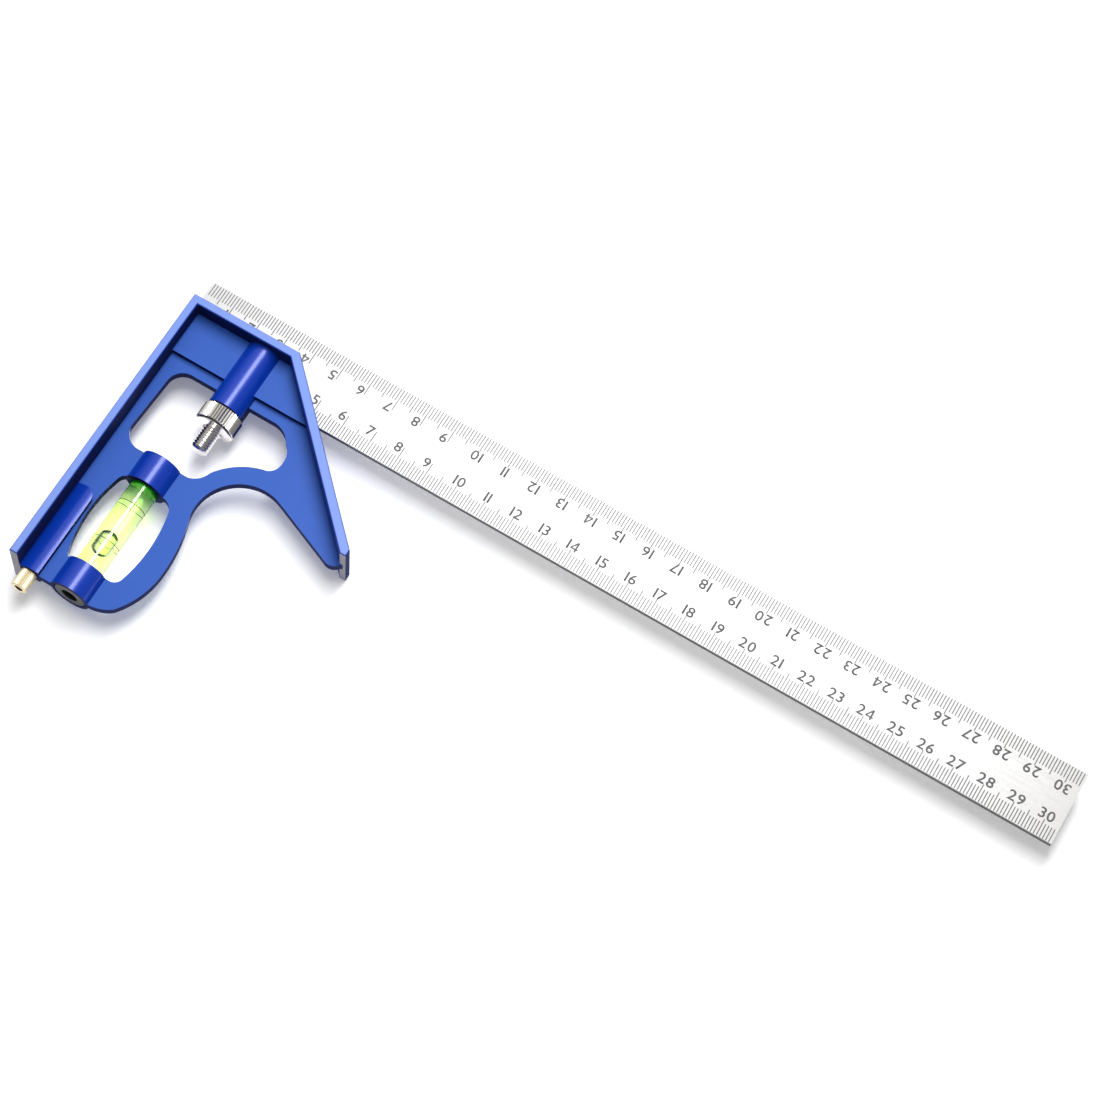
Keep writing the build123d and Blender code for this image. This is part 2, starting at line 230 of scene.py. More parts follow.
def facing_parts(tree):
    """X, Y and Z of the way that a face points, fixed to the part."""
    facing = add_node(tree, "ShaderNodeTexCoord").outputs["Normal"]
    return add_node(tree, "ShaderNodeSeparateXYZ", Vector=facing).outputs


def bare_ends(tree, here):
    """Mask of the two sawn end faces, of the 90 degree wall and of the tip, that have no coat."""
    place = add_node(tree, "ShaderNodeSeparateXYZ", Vector=here)
    downward = above(tree, math_of(tree, "MULTIPLY", facing_parts(tree)["Y"], -1.0), 0.9, 0.05)
    wall = above(tree, math_of(tree, "MULTIPLY", place.outputs["X"], -1.0),
                 -(head_low.x + WALL_THICK), 0.02 * MM)
    tip = above(tree, place.outputs["X"], head_high.x - TIP_FACE, 0.02 * MM)
    return math_of(tree, "MULTIPLY", downward, math_of(tree, "MAXIMUM", wall, tip))


def inward_walls(tree):
    """Mask of the upright faces that point along the rule or down the head, where a deeper blue is
    painted as shade.
    """
    facing = facing_parts(tree)
    upright = above(tree, math_of(tree, "MULTIPLY", math_of(tree, "ABSOLUTE", facing["Z"]), -1.0),
                    -0.22, 0.08)
    inward = math_of(tree, "SUBTRACT", math_of(tree, "MULTIPLY", facing["X"], 0.6), facing["Y"])
    return math_of(tree, "MULTIPLY", upright, above(tree, inward, 0.25, 0.15))


def blue_finish():
    """Blue coat on metal: satin on the round bosses, duller on the flats, lighter on the rims; a lighter
    blue is painted on the level flats as light, and a near-black blue on the pocket walls as shade.
    """
    material, tree, shader, _ = blank_material("blue_finish")
    here = part_coordinates(tree)
    clouds = noise(tree, here, 90.0)
    round_blue = colour_mix(tree, clouds, (0.002, 0.036, 0.39), (0.003, 0.044, 0.44))
    # Painted light: a lighter, greyer blue for the level flats, standing in for the light on them.
    painted_light_flat_blue = colour_mix(tree, clouds, (0.011, 0.074, 0.385), (0.014, 0.086, 0.425))
    # Painted shade: a near-black blue for the pocket walls, where the shade falls.
    painted_shade_blue = colour_mix(tree, clouds, (0.001, 0.008, 0.08), (0.002, 0.012, 0.11))
    height = add_node(tree, "ShaderNodeSeparateXYZ", Vector=here).outputs["Z"]
    middle_z = (head_low.z + head_high.z) / 2
    reach = math_of(tree, "ABSOLUTE", math_of(tree, "SUBTRACT", height, middle_z))
    half = (head_high.z - head_low.z) / 2
    rim = above(tree, reach, half - RIM_DEPTH, 0.08 * MM)
    low_down = above(tree, math_of(tree, "MULTIPLY", reach, -1.0), -CHEEK_REACH, 0.05 * MM)
    level = above(tree, math_of(tree, "ABSOLUTE", facing_parts(tree)["Z"]), 0.99, 0.005)
    flat = math_of(tree, "MULTIPLY", level, low_down)
    pocket = inward_walls(tree)
    # The pocket walls take the painted shade and the level flats the painted light, over the bosses' own
    # blue.
    body = colour_mix(tree, pocket, colour_mix(tree, flat, round_blue, painted_light_flat_blue), painted_shade_blue)
    coated = colour_mix(tree, rim, body, RIM_BLUE)
    bare = bare_ends(tree, here)
    grain = noise(tree, here, 2600.0, 2.0)
    metal = colour_mix(tree, grain, (0.26, 0.26, 0.31), (0.42, 0.41, 0.47))
    tree.links.new(colour_mix(tree, bare, coated, metal), shader.inputs["Base Color"])
    shader.inputs["Metallic"].default_value = 0.1
    shader.inputs["Specular IOR Level"].default_value = 0.25
    dull = math_of(tree, "MAXIMUM", pocket, math_of(tree, "MAXIMUM", flat, rim))
    satin = remap(tree, grain, 0.3, 0.7, 0.26, 0.34)
    duller = math_of(tree, "ADD", math_of(tree, "MULTIPLY", dull, FLAT_DULLNESS),
                     math_of(tree, "MULTIPLY", pocket, POCKET_DULLNESS))
    tree.links.new(math_of(tree, "ADD", satin, duller), shader.inputs["Roughness"])
    tree.links.new(remap(tree, dull, 0.0, 1.0, 0.55, 0.0), shader.inputs["Coat Weight"])
    shader.inputs["Coat Roughness"].default_value = 0.19
    bumped(tree, shader, grain, 0.12, 0.02 * MM)
    return material


def blade_steel():
    """Satin steel, ground along the rule, with its ends painted darker as shade and its sides painted
    dark as shade.
    """
    material, tree, shader, _ = blank_material("blade_steel")
    along = part_coordinates(tree, (12.0, 1.0, 1.0))
    lines = noise(tree, part_coordinates(tree, (40.0, 6000.0, 900.0)), 1.0, 3.0, 0.6)
    mottle = noise(tree, along, 30.0, 4.0)
    grit = noise(tree, part_coordinates(tree), 900.0, 3.0)
    shade = colour_mix(tree, remap(tree, grit, 0.35, 0.65, 0.0, 1.0), (0.60, 0.60, 0.595),
                       (0.74, 0.74, 0.735))
    patch = colour_mix(tree, remap(tree, mottle, 0.4, 0.7, 0.0, 0.35), shade, (0.69, 0.69, 0.685))
    place = add_node(tree, "ShaderNodeSeparateXYZ", Vector=part_coordinates(tree))
    from_middle = math_of(tree, "ABSOLUTE", place.outputs["X"])
    # Painted shade: the rule turns a darker grey towards its ends.
    ends = remap(tree, from_middle, END_SHADE_FROM, rule_high.x, 0.0, 0.9)
    end_shaded = colour_mix(tree, ends, patch, RULE_END_SHADE)
    # Painted shade: the rule's sides and end faces are painted dark grey.
    steepness = math_of(tree, "ABSOLUTE", facing_parts(tree)["Z"])
    side = above(tree, math_of(tree, "MULTIPLY", steepness, -1.0), -0.5, 0.1)
    tree.links.new(colour_mix(tree, side, end_shaded, RULE_SIDE_SHADE), shader.inputs["Base Color"])
    shader.inputs["Metallic"].default_value = 0.5
    tree.links.new(remap(tree, lines, 0.3, 0.7, 0.48, 0.60), shader.inputs["Roughness"])
    bumped(tree, shader, lines, 0.10, 0.01 * MM)
    return material


def rule_ink():
    """Dark grey filling of the rule's marks and numbers."""
    material, tree, shader, _ = blank_material("rule_ink")
    grit = noise(tree, part_coordinates(tree), 1800.0, 3.0)
    tree.links.new(colour_mix(tree, grit, (0.11, 0.11, 0.115), (0.20, 0.20, 0.205)),
                   shader.inputs["Base Color"])
    tree.links.new(remap(tree, grit, 0.3, 0.7, 0.6, 0.8), shader.inputs["Roughness"])
    shader.inputs["Specular IOR Level"].default_value = 0.15
    return material


def plated(name, first, second, rough_low, rough_high, metallic=1.0):
    """Plated or polished metal with faint clouding and fine wear."""
    material, tree, shader, _ = blank_material(name)
    here = part_coordinates(tree)
    clouds = noise(tree, here, 240.0, 3.0)
    grain = noise(tree, here, 3200.0, 2.0)
    tree.links.new(colour_mix(tree, clouds, first, second), shader.inputs["Base Color"])
    shader.inputs["Metallic"].default_value = metallic
    tree.links.new(remap(tree, grain, 0.3, 0.7, rough_low, rough_high), shader.inputs["Roughness"])
    bumped(tree, shader, grain, 0.08, 0.01 * MM)
    return material


def plastic(name, first, second, rough_low, rough_high):
    """Moulded plastic or rubber with a fine grain."""
    material, tree, shader, _ = blank_material(name)
    grain = noise(tree, part_coordinates(tree), 2200.0, 3.0)
    tree.links.new(colour_mix(tree, grain, first, second), shader.inputs["Base Color"])
    tree.links.new(remap(tree, grain, 0.3, 0.7, rough_low, rough_high), shader.inputs["Roughness"])
    bumped(tree, shader, grain, 0.15, 0.02 * MM)
    return material


def clear_material(name, first, second, ior, shade, cap_shade_tint=None):
    """Clear plastic or liquid that lets lamps through, tinted by shade; a darker green given for the cap
    end is painted as shade over the last few millimetres next to the cap."""
    material, tree, shader, output = blank_material(name)
    here = part_coordinates(tree)
    clouds = noise(tree, here, 300.0, 2.0)
    tint = colour_mix(tree, clouds, first, second)
    if cap_shade_tint:
        along = add_node(tree, "ShaderNodeSeparateXYZ", Vector=here).outputs["Y"]
        # Painted shade: the liquid turns a darker green near the cap.
        cap_shade = remap(tree, along, cap_low.y - CAP_SHADE_LENGTH, cap_low.y - 0.5 * MM, 0.0, 1.0)
        tint = colour_mix(tree, cap_shade, tint, cap_shade_tint)
    tree.links.new(tint, shader.inputs["Base Color"])
    shader.inputs["Transmission Weight"].default_value = 1.0
    shader.inputs["IOR"].default_value = ior
    shader.inputs["Roughness"].default_value = 0.0
    shader.inputs["Specular IOR Level"].default_value = 0.2
    path = add_node(tree, "ShaderNodeLightPath")
    through = add_node(tree, "ShaderNodeBsdfTransparent")
    through.inputs["Color"].default_value = (*shade, 1.0)
    both = add_node(tree, "ShaderNodeMixShader")
    tree.links.new(path.outputs["Is Shadow Ray"], both.inputs[0])
    tree.links.new(shader.outputs[0], both.inputs[1])
    tree.links.new(through.outputs[0], both.inputs[2])
    tree.links.new(both.outputs[0], output.inputs["Surface"])
    return material


materials = {
    "blue_finish": blue_finish(),
    "blade_steel": blade_steel(),
    "rule_ink": rule_ink(),
    "nickel": plated("nickel", (0.80, 0.77, 0.73), (0.90, 0.87, 0.83), 0.12, 0.20),
    "spring_steel": plated("spring_steel", (0.42, 0.42, 0.43), (0.55, 0.55, 0.55), 0.22, 0.32),
    "brass_knob": plated("brass_knob", (0.94, 0.80, 0.50), (0.98, 0.87, 0.60), 0.40, 0.52, 0.6),
    "knob_recess": plastic("knob_recess", (0.16, 0.07, 0.02), (0.26, 0.12, 0.04), 0.5, 0.7),
    "needle_steel": plated("needle_steel", (0.50, 0.50, 0.51), (0.62, 0.62, 0.62), 0.14, 0.24),
    "cap_green": plastic("cap_green", (0.02, 0.38, 0.04), (0.06, 0.55, 0.08), 0.10, 0.18),
    "vial_line": plastic("vial_line", (0.01, 0.045, 0.005), (0.02, 0.07, 0.01), 0.5, 0.7),
    "pad_rubber": plastic("pad_rubber", (0.03, 0.03, 0.03), (0.06, 0.06, 0.06), 0.7, 0.85),
    "plug_dark": plastic("plug_dark", (0.010, 0.010, 0.012), (0.022, 0.022, 0.025), 0.34, 0.5),
    "bush_plastic": plastic("bush_plastic", (0.68, 0.67, 0.62), (0.78, 0.77, 0.73), 0.4, 0.55),
    "vial_clear": clear_material("vial_clear", (0.955, 1.0, 0.84), (0.975, 1.0, 0.88), 1.49,
                                 (0.96, 1.0, 0.85)),
    "vial_green": clear_material("vial_green", (0.88, 1.0, 0.66), (0.91, 1.0, 0.72), 1.36,
                                 (0.95, 1.0, 0.72), cap_shade_tint=(0.30, 0.90, 0.16)),
}


# ---- CAD nodes that keep their shape ----
def dress(node, material):
    """The material for a CAD node that stays."""
    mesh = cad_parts[node].data
    mesh.materials.clear()
    mesh.materials.append(materials[material])


for kept_node, kept_material in (
    ("head_casting", "blue_finish"),
    ("blade", "blade_steel"),
    ("lock_spring", "spring_steel"),
    ("vial_cap", "cap_green"),
    ("vial_pad", "pad_rubber"),
    ("vial_plug", "plug_dark"),
    ("scriber_bush", "bush_plastic"),
    ("scriber_needle", "needle_steel"),
):
    dress(kept_node, kept_material)


# ---- the clamp's nut and bolt ----
NUT_RIDGES = 44
NUT_RIDGE_DEPTH = 0.34 * MM
NUT_CLEARANCE = 0.02 * MM       # between the nut's bore and the bolt
KNURL_FROM_END = 1.60 * MM      # from the nut's outer end to the end of its knurl
NUT_CHAMFER = 0.45 * MM
GROOVE_DEPTH = 1.10 * MM        # of the groove between the knurl and the collar
GROOVE_START = 0.30 * MM        # from the knurl's end
GROOVE_END = 0.60 * MM
THREAD_PITCH = 1.0 * MM
THREAD_CUT = 0.32 * MM
THREAD_SEGMENTS = 56
RINGS_PER_TURN = 6
SHANK_CHAMFER = 0.55 * MM
SHANK_OVERLAP = 0.2 * MM        # of the threaded shank with the forked head
SHANK_START = 1.5 * MM          # from the nut to where the shank takes over, up the bolt
CUTS_PER_RIDGE = 4


def knurl(ridges, depth):
    """Cut of a straight knurl, by the angle round the piece."""
    def cut(angle, _):
        """Depth of the knurl at an angle, the same all along the piece."""
        return depth * abs(2 * ((angle * ridges / TURN) % 1.0) - 1)
    return cut


def thread(pitch, depth):
    """Cut of a helical thread, by the angle and the place along the piece."""
    def cut(angle, y):
        """Depth of the thread at an angle and a place."""
        return depth * abs(2 * ((y / pitch + angle / TURN) % 1.0) - 1)
    return cut


def nut_piece():
    """Knurled nut with a chamfer and a shallow cone on its outer face; its groove is painted near-black
    as shade.
    """
    radius = (nut_high.x - nut_low.x) / 2
    bore = bolt_shank_radius() + NUT_CLEARANCE
    barrel_end = nut_low.y + KNURL_FROM_END
    profile = (
        (bore, nut_high.y),
        (radius - NUT_CHAMFER, nut_high.y),
        (radius, nut_high.y - 0.40 * MM, "knurled"),
        (radius, barrel_end, "knurled"),
        (radius - NUT_CHAMFER, barrel_end - 0.25 * MM),
        (radius - GROOVE_DEPTH, barrel_end - GROOVE_START),
        (radius - GROOVE_DEPTH, barrel_end - GROOVE_END),
        (radius - 0.30 * MM, barrel_end - 0.68 * MM),
        (radius - 0.40 * MM, barrel_end - 0.92 * MM),
        (bore + 1.1 * MM, nut_low.y + 0.04 * MM),
        (bore + 0.9 * MM, nut_low.y),
        (bore + 0.35 * MM, nut_low.y),
        (bore, nut_low.y + 0.35 * MM),
    )
    bm = turned(middle("lock_nut"), profile, NUT_RIDGES * CUTS_PER_RIDGE, closed=True,
                ripple=knurl(NUT_RIDGES, NUT_RIDGE_DEPTH))
    piece = add_mesh("clamp_nut", bm, "lock_nut", materials["nickel"], smooth_angle=24)
    piece.data.materials.append(materials["plug_dark"])
    axis = middle("lock_nut")
    # Painted shade: the faces in the groove take the near-black plastic instead of nickel.
    for face in piece.data.polygons:
        off_axis = math.hypot(face.center.x - axis.x, face.center.z - axis.z)
        in_groove = barrel_end - 0.66 * MM < face.center.y < barrel_end - 0.26 * MM
        if in_groove and off_axis > bore + MM:
            face.material_index = 1
    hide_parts("lock_nut")


def bolt_shank_radius():
    """Radius of the bolt behind its nut, read from the end of its own mesh."""
    axis = middle("lock_bolt")
    near_end = bolt_low.y + 3 * MM
    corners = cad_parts["lock_bolt"].data.vertices
    return max(abs(corner.co.x - axis.x) for corner in corners if corner.co.y < near_end)


def bolt_piece():
    """The bolt: its forked head as modelled, and a shank with a cut thread and a chamfered end."""
    bm = bmesh.new()
    bm.from_mesh(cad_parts["lock_bolt"].data)
    bmesh.ops.remove_doubles(bm, verts=bm.verts, dist=0.001 * MM)
    cut_y = nut_high.y + SHANK_START
    whole = list(bm.verts) + list(bm.edges) + list(bm.faces)
    cut = bmesh.ops.bisect_plane(bm, geom=whole, plane_co=(0, cut_y, 0), plane_no=(0, -1, 0),
                                 clear_outer=True)
    rim = [part for part in cut["geom_cut"] if isinstance(part, bmesh.types.BMEdge)]
    bmesh.ops.holes_fill(bm, edges=rim)
    radius = bolt_shank_radius()
    top_y = cut_y + SHANK_OVERLAP
    end_y = bolt_low.y
    profile = [(0, top_y), (radius - THREAD_CUT, top_y)]
    threaded = top_y - end_y - SHANK_CHAMFER
    rings = int(threaded / THREAD_PITCH * RINGS_PER_TURN)
    for index in range(rings + 1):
        y = top_y - threaded * index / rings
        profile.append((radius, y, "threaded"))
    profile += [(radius - SHANK_CHAMFER, end_y), (0, end_y)]
    turned(middle("lock_bolt"), profile, THREAD_SEGMENTS, ripple=thread(THREAD_PITCH, THREAD_CUT), bm=bm)
    piece = add_mesh("clamp_bolt", bm, "lock_bolt", materials["nickel"], smooth_angle=32)
    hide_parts("lock_bolt")


# ---- the scriber's knob ----
KNOB_RIDGES = 26
KNOB_RIDGE_DEPTH = 0.20 * MM
KNOB_CHAMFER = 0.35 * MM
KNOB_RECESS_RADIUS = 1.45 * MM


def knob_piece():
    """Finely knurled knob with a recess in its end."""
    radius = (knob_high.x - knob_low.x) / 2
    recess = KNOB_RECESS_RADIUS
    profile = (
        (0, knob_high.y),
        (radius - KNOB_CHAMFER, knob_high.y),
        (radius, knob_high.y - 0.30 * MM, "knurled"),
        (radius, knob_low.y + 0.30 * MM, "knurled"),
        (radius - KNOB_CHAMFER, knob_low.y),
        (recess + 0.10 * MM, knob_low.y),
        (recess, knob_low.y + 0.10 * MM),
        (recess, knob_low.y + 1.5 * MM),
        (0, knob_low.y + 1.7 * MM),
    )
    bm = turned(middle("scriber_knob"), profile, KNOB_RIDGES * CUTS_PER_RIDGE,
                ripple=knurl(KNOB_RIDGES, KNOB_RIDGE_DEPTH))
    piece = add_mesh("scriber_grip", bm, "scriber", materials["brass_knob"],
                     smooth_angle=24)
    piece.data.materials.append(materials["knob_recess"])
    axis = middle("scriber_knob")
    for face in piece.data.polygons:
        off_axis = math.hypot(face.center.x - axis.x, face.center.z - axis.z)
        if off_axis < recess + 0.01 * MM and face.center.y < axis.y:
            face.material_index = 1
    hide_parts("scriber_knob")


# ---- the spirit level ----
GLASS_SEGMENTS = 96
LIQUID_OVERLAP = 0.01 * MM      # into the tube's wall and floor, so that no gap of air shows
BUBBLE_LENGTH = 8.8 * MM
BUBBLE_RADIUS = 2.6 * MM
BUBBLE_FROM_TOP = 28.8 * MM     # from the tube's upper end to the bubble's middle
BUBBLE_RINGS = 12
BUBBLE_SKIN = 0.15 * MM         # liquid left over the bubble
LINES_FROM_TOP = (14.25 * MM, 28.15 * MM)
LINE_WIDTH = 0.22 * MM
LINE_STAND = 0.02 * MM


def vial_tube_piece():
    """Clear tube, closed at its lower end."""
    outer = (tube_high.x - tube_low.x) / 2
    bore = (cap_high.x - cap_low.x) / 2
    floor_y = liquid_low.y
    edge = 0.15 * MM
    profile = (
        (0, tube_low.y),
        (outer - edge, tube_low.y),
        (outer, tube_low.y + edge),
        (outer, tube_high.y - edge),
        (outer - edge, tube_high.y),
        (bore, tube_high.y),
        (bore, floor_y),
        (0, floor_y),
    )
    bm = turned(middle("vial_tube"), profile, GLASS_SEGMENTS)
    piece = add_mesh("level_tube", bm, "head", materials["vial_clear"], smooth_angle=30)
    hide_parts("vial_tube")


def bubble_profile(middle_y):
    """Half outline of the bubble: a short cylinder with a round end on each side."""
    straight = BUBBLE_LENGTH / 2 - BUBBLE_RADIUS
    profile = []
    for side in (1, -1):
        for index in range(BUBBLE_RINGS + 1):
            angle = math.pi / 2 * (index if side == 1 else BUBBLE_RINGS - index) / BUBBLE_RINGS
            ring_y = middle_y + side * (straight + BUBBLE_RADIUS * math.cos(angle))
            profile.append((BUBBLE_RADIUS * math.sin(angle) if angle else 0, ring_y))
    return profile


def vial_liquid_piece():
    """Liquid in the bore, with the bubble as a hollow in it. It overlaps the whole cap, so that no
    film of air shows between them."""
    bore = (cap_high.x - cap_low.x) / 2
    radius = bore + LIQUID_OVERLAP
    centre = middle("vial_tube")
    top_y = cap_high.y - LIQUID_OVERLAP
    profile = (
        (0, liquid_low.y - LIQUID_OVERLAP),
        (radius, liquid_low.y - LIQUID_OVERLAP),
        (radius, top_y),
        (0, top_y),
    )
    bm = turned(centre, profile, GLASS_SEGMENTS)
    bubble_y = tube_high.y - BUBBLE_FROM_TOP
    bubble_centre = Vector((centre.x, bubble_y, centre.z + bore - BUBBLE_RADIUS - BUBBLE_SKIN))
    outside_faces = len(bm.faces)
    turned(bubble_centre, bubble_profile(bubble_y), GLASS_SEGMENTS // 2, bm=bm)
    piece = add_mesh("level_liquid", bm, "head", materials["vial_green"], smooth_angle=30)
    shell = bmesh.new()
    shell.from_mesh(piece.data)
    shell.faces.ensure_lookup_table()
    bmesh.ops.reverse_faces(shell, faces=shell.faces[outside_faces:])
    shell.to_mesh(piece.data)
    shell.free()
    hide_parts("vial_liquid")


def vial_lines():
    """Two thin lines printed round the tube."""
    radius = (tube_high.x - tube_low.x) / 2
    bm = bmesh.new()
    for from_top in LINES_FROM_TOP:
        y = tube_high.y - from_top
        profile = (
            (radius + LINE_STAND, y + LINE_WIDTH / 2),
            (radius + LINE_STAND, y - LINE_WIDTH / 2),
            (radius - LINE_STAND, y - LINE_WIDTH / 2),
            (radius - LINE_STAND, y + LINE_WIDTH / 2),
        )
        turned(middle("vial_tube"), profile, GLASS_SEGMENTS, closed=True, bm=bm)
    add_mesh("level_lines", bm, "head", materials["vial_line"], smooth_angle=30)


nut_piece()
bolt_piece()
knob_piece()
vial_tube_piece()
vial_liquid_piece()
vial_lines()


# ---- the rule's marks and numbers ----
SCALE_LENGTH_MM = 304
MARK_STAND = 0.012 * MM         # how far the filling stands out of the steel
MARK_SINK = 0.05 * MM
TICK_WIDTH = 0.30 * MM
TICK_INSET = 0.25 * MM          # from the rule's edge
TICK_REACH = {"millimetre": 4.7 * MM, "half": 6.1 * MM, "centimetre": 8.2 * MM, "short": 5.9 * MM}
NUMBER_HEIGHT = 3.4 * MM
DIGIT_BOLDNESS = 0.014          # in the font's own units
DIGIT_WIDENING = 1.08
DIGIT_GAP = 0.55 * MM
SINGLE_GAP = 0.6 * MM           # from a one-digit number to the mark at its right
NUMBER_NEAR_EDGE = 5.8 * MM     # from the rule's edge to the near side of a number
FIRST_TWO_DIGITS = 10
LAST_NUMBER = 30


def tick_kind(millimetre):
    """Which length of mark stands at a millimetre of the scale."""
    if millimetre % 5:
        return "millimetre"
    if millimetre % 10:
        return "half"
    return "centimetre" if millimetre < 10 * FIRST_TWO_DIGITS else "short"


def rule_ticks():
    """Millimetre marks along both edges of the numbered face."""
    bm = bmesh.new()
    for millimetre in range(1, SCALE_LENGTH_MM + 1):
        x = rule_low.x + millimetre * MM
        reach = TICK_REACH[tick_kind(millimetre)]
        for edge, inward in ((rule_high.y, -1), (rule_low.y, 1)):
            ends = sorted((edge + inward * TICK_INSET, edge + inward * reach))
            add_box(bm, (x - TICK_WIDTH / 2, ends[0], rule_high.z - MARK_SINK),
                    (x + TICK_WIDTH / 2, ends[1], rule_high.z + MARK_STAND))
    add_mesh("rule_ticks", bm, "blade", materials["rule_ink"])


def font_digit(bm, digit):
    """Flat outline of a digit from the built-in font, a little bolder than its own weight."""
    curve = bpy.data.curves.new("digit", "FONT")
    curve.body = digit
    curve.offset = DIGIT_BOLDNESS
    curve.resolution_u = 4
    writer = bpy.data.objects.new("digit", curve)
    bpy.context.scene.collection.objects.link(writer)
    bpy.context.view_layer.update()
    flat = bpy.data.meshes.new_from_object(writer)
    bm.from_mesh(flat)
    bpy.data.objects.remove(writer)
    bpy.data.curves.remove(curve)
    bpy.data.meshes.remove(flat)


def drawn_four(bm):
    """Flat outline of a four, whose small triangle closes up when the font's own is made bolder."""
    stem = (0.42, 0.58)
    bar = (0.20, 0.34)
    right = 0.70
    outline = [(stem[0], 0), (stem[1], 0), (stem[1], bar[0]), (right, bar[0]), (right, bar[1]),
               (stem[1], bar[1]), (stem[1], 1), (stem[0], 1), (0, bar[1]), (0, bar[0]), (stem[0], bar[0])]
    hole = [(0.16, bar[1]), (stem[0], bar[1]), (stem[0], 0.74)]
    loops = [[Vector((x, y, 0)) for x, y in loop] for loop in (outline, hole)]
    corners = [bm.verts.new(corner) for loop in loops for corner in loop]
    for triangle in tessellate_polygon(loops):
        bm.faces.new([corners[index] for index in triangle])


def digit_mesh(digit):
    """Closed mesh of a digit, its near left corner at the origin, and its width."""
    bm = bmesh.new()
    if digit == "4":
        drawn_four(bm)
    else:
        font_digit(bm, digit)
    low = Vector((min(v.co.x for v in bm.verts), min(v.co.y for v in bm.verts), 0))
    high = Vector((max(v.co.x for v in bm.verts), max(v.co.y for v in bm.verts), 0))
    tall = NUMBER_HEIGHT / (high.y - low.y)
    wide = tall * DIGIT_WIDENING
    bmesh.ops.translate(bm, verts=bm.verts, vec=-low)
    bmesh.ops.scale(bm, verts=bm.verts, vec=(wide, tall, 1))
    bmesh.ops.remove_doubles(bm, verts=bm.verts, dist=0.0005 * MM)
    raised = bmesh.ops.extrude_face_region(bm, geom=list(bm.faces))
    lifted = [part for part in raised["geom"] if isinstance(part, bmesh.types.BMVert)]
    bmesh.ops.translate(bm, verts=lifted, vec=(0, 0, MARK_SINK + MARK_STAND))
    bmesh.ops.recalc_face_normals(bm, faces=bm.faces)
    made = bpy.data.meshes.new("digit_" + digit)
    bm.to_mesh(made)
    bm.free()
    return made, (high.x - low.x) * wide


def rule_numbers():
    """Centimetre numbers: upright along the lower edge and turned round along the upper edge."""
    digits = {digit: digit_mesh(digit) for digit in "0123456789"}
    bm = bmesh.new()
    base_z = rule_high.z - MARK_SINK
    for number in range(1, LAST_NUMBER + 1):
        written = str(number)
        width = sum(digits[digit][1] for digit in written) + DIGIT_GAP * (len(written) - 1)
        x = rule_low.x + 10 * number * MM
        if number < FIRST_TWO_DIGITS:
            x -= SINGLE_GAP + width / 2
        pen = -width / 2
        for digit in written:
            mesh, digit_width = digits[digit]
            lower = Matrix.Translation((x + pen, rule_low.y + NUMBER_NEAR_EDGE, base_z))
            turned_round = Matrix.Rotation(math.pi, 4, "Z")
            upper = Matrix.Translation((x - pen, rule_high.y - NUMBER_NEAR_EDGE, base_z)) @ turned_round
            for place in (upper, lower):
                before = len(bm.verts)
                bm.from_mesh(mesh)
                bm.verts.ensure_lookup_table()
                bmesh.ops.transform(bm, matrix=place, verts=bm.verts[before:])
            pen += digit_width + DIGIT_GAP
    for mesh, _ in digits.values():
        bpy.data.meshes.remove(mesh)
    add_mesh("rule_numbers", bm, "blade", materials["rule_ink"])


rule_ticks()
rule_numbers()


# ---- floor, light and camera ----
FLOOR_HALF = 6.0
FLOOR_DROP = 0.05 * MM          # below the part, so that the two don't share a plane
FLOOR_WHITE = (0.98, 0.98, 0.98, 1.0)
FLOOR_GLOW = 0.20               # the floor's own light, which keeps it white
SKY_DIM = (0.24, 0.24, 0.25)
SKY_BRIGHT = (1.0, 1.0, 1.0)
SKY_STRENGTH = 0.92
KEY_PLACE = (-0.10, 0.38, 0.98)
KEY_TARGET = (-0.10, 0.02, 0.0)
KEY_SIZE = (0.36, 0.9)
KEY_POWER = 10.5
CAMERA_PLACE = (0.10375, -0.28251, 0.82280)
CAMERA_TARGET = (-0.05288, 0.03428, 0.0)
CAMERA_ROLL = -5.247            # degrees
SENSOR_WIDTH = 36.0             # in the lens's own millimetres
LENS_LENGTH = 95.72
LENS_SHIFT = (0.0943, -0.0347)


def floor():
    """Plain white surface under the part."""
    bm = bmesh.new()
    bmesh.ops.create_grid(bm, x_segments=1, y_segments=1, size=FLOOR_HALF)
    mesh = bpy.data.meshes.new("floor")
    bm.to_mesh(mesh)
    bm.free()
    plane = bpy.data.objects.new("floor", mesh)
    bpy.context.scene.collection.objects.link(plane)
    plane.location.z = -FLOOR_DROP
    material, _, shader, _ = blank_material("floor_white")
    shader.inputs["Base Color"].default_value = FLOOR_WHITE
    shader.inputs["Roughness"].default_value = 0.9
    shader.inputs["Specular IOR Level"].default_value = 0.1
    shader.inputs["Emission Color"].default_value = (1.0, 1.0, 1.0, 1.0)
    shader.inputs["Emission Strength"].default_value = FLOOR_GLOW
    mesh.materials.append(material)


def soft_light(name, place, target, size_x, size_y, power):
    """Rectangular soft light that points at a target."""
    lamp = bpy.data.lights.new(name, "AREA")
    lamp.shape = "RECTANGLE"
    lamp.size = size_x
    lamp.size_y = size_y
    lamp.energy = power
    holder = bpy.data.objects.new(name, lamp)
    bpy.context.scene.collection.objects.link(holder)
    holder.location = place
    aim = Vector(target) - Vector(place)
    holder.rotation_mode = "QUATERNION"
    holder.rotation_quaternion = aim.to_track_quat("-Z", "Y")


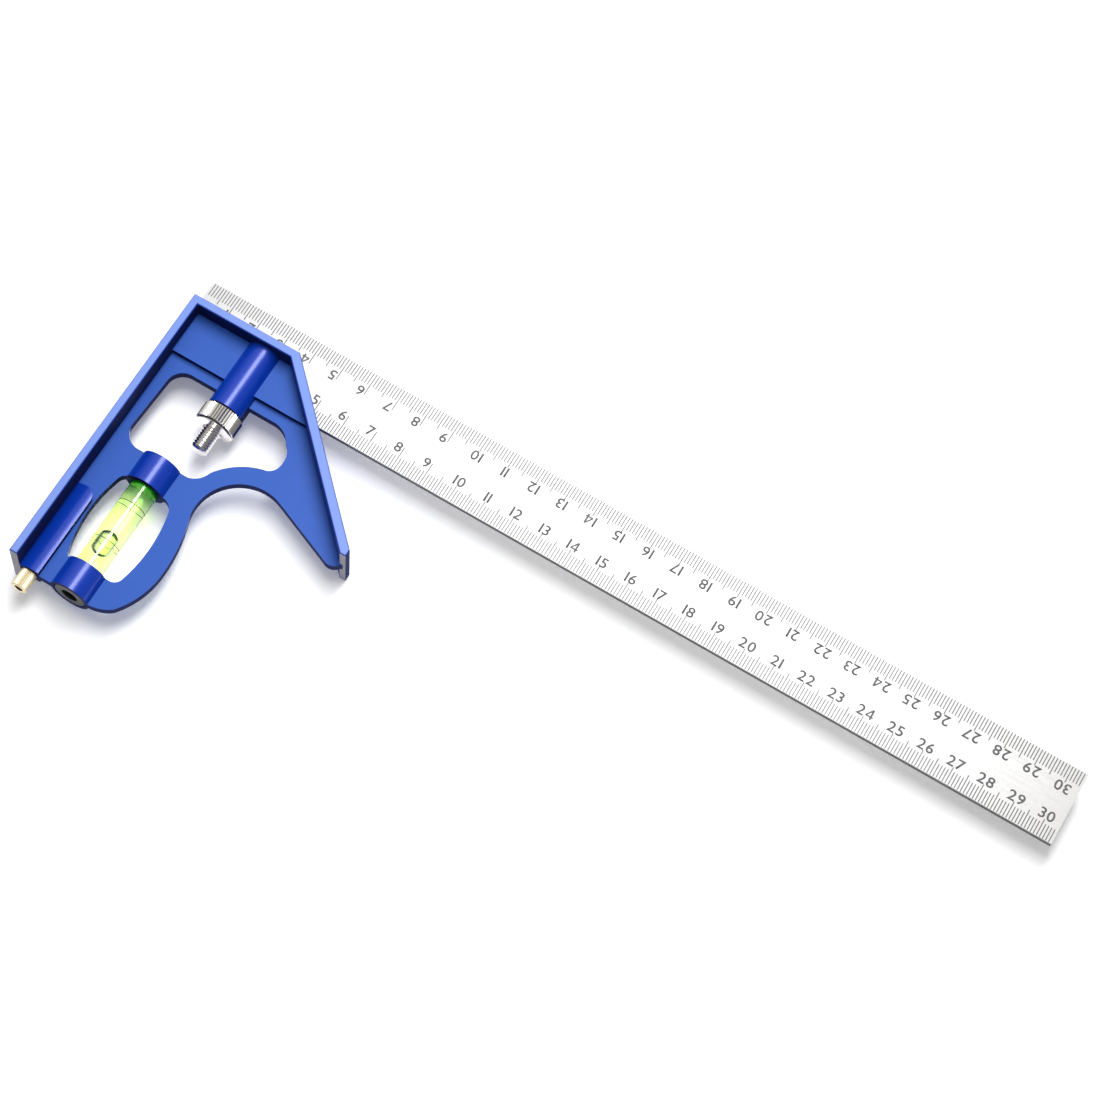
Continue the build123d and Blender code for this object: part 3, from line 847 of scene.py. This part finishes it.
def soft_step(tree, value, low, high):
    """0 below a low value and 1 above a high one, with a smooth change between them."""
    made = add_node(tree, "ShaderNodeMapRange", {"interpolation_type": "SMOOTHSTEP"}, Value=value)
    made.inputs["From Min"].default_value = low
    made.inputs["From Max"].default_value = high
    return made.outputs["Result"]


def sky():
    """Large soft light overhead, fading towards the horizon and towards the right and near sides."""
    world = bpy.data.worlds.new("studio")
    bpy.context.scene.world = world
    world.use_nodes = True
    tree = world.node_tree
    back = tree.nodes["Background"]
    place = add_node(tree, "ShaderNodeTexCoord")
    parts = add_node(tree, "ShaderNodeSeparateXYZ", Vector=place.outputs["Generated"])
    rise = soft_step(tree, parts.outputs["Z"], 0.40, 0.85)
    left = math_of(tree, "MULTIPLY", parts.outputs["X"], -1.0)
    across = soft_step(tree, left, -0.55, -0.05)
    away = soft_step(tree, parts.outputs["Y"], -0.55, 0.0)
    glow = math_of(tree, "MULTIPLY", rise, math_of(tree, "MULTIPLY", across, away))
    tree.links.new(colour_mix(tree, glow, SKY_DIM, SKY_BRIGHT), back.inputs["Color"])
    back.inputs["Strength"].default_value = SKY_STRENGTH


def camera():
    """Camera above the rule's near side, looking down across it."""
    place = Vector(CAMERA_PLACE)
    target = Vector(CAMERA_TARGET)
    roll = math.radians(CAMERA_ROLL)
    forward = (target - place).normalized()
    level_right = forward.cross(Vector((0, 0, 1))).normalized()
    level_up = level_right.cross(forward)
    right = level_right * math.cos(roll) - level_up * math.sin(roll)
    up = level_right * math.sin(roll) + level_up * math.cos(roll)
    turn = Matrix((right, up, -forward)).transposed()
    lens = bpy.data.cameras.new("camera")
    lens.sensor_width = SENSOR_WIDTH
    lens.lens = LENS_LENGTH
    lens.shift_x = LENS_SHIFT[0]
    lens.shift_y = LENS_SHIFT[1]
    lens.clip_start = 0.01
    holder = bpy.data.objects.new("camera", lens)
    bpy.context.scene.collection.objects.link(holder)
    holder.rotation_mode = "QUATERNION"
    holder.rotation_quaternion = turn.to_quaternion()
    holder.location = place
    bpy.context.scene.camera = holder


floor()
sky()
camera()
soft_light("key", KEY_PLACE, KEY_TARGET, KEY_SIZE[0], KEY_SIZE[1], KEY_POWER)
bpy.context.scene.view_settings.view_transform = "Standard"

bpy.context.view_layer.update()
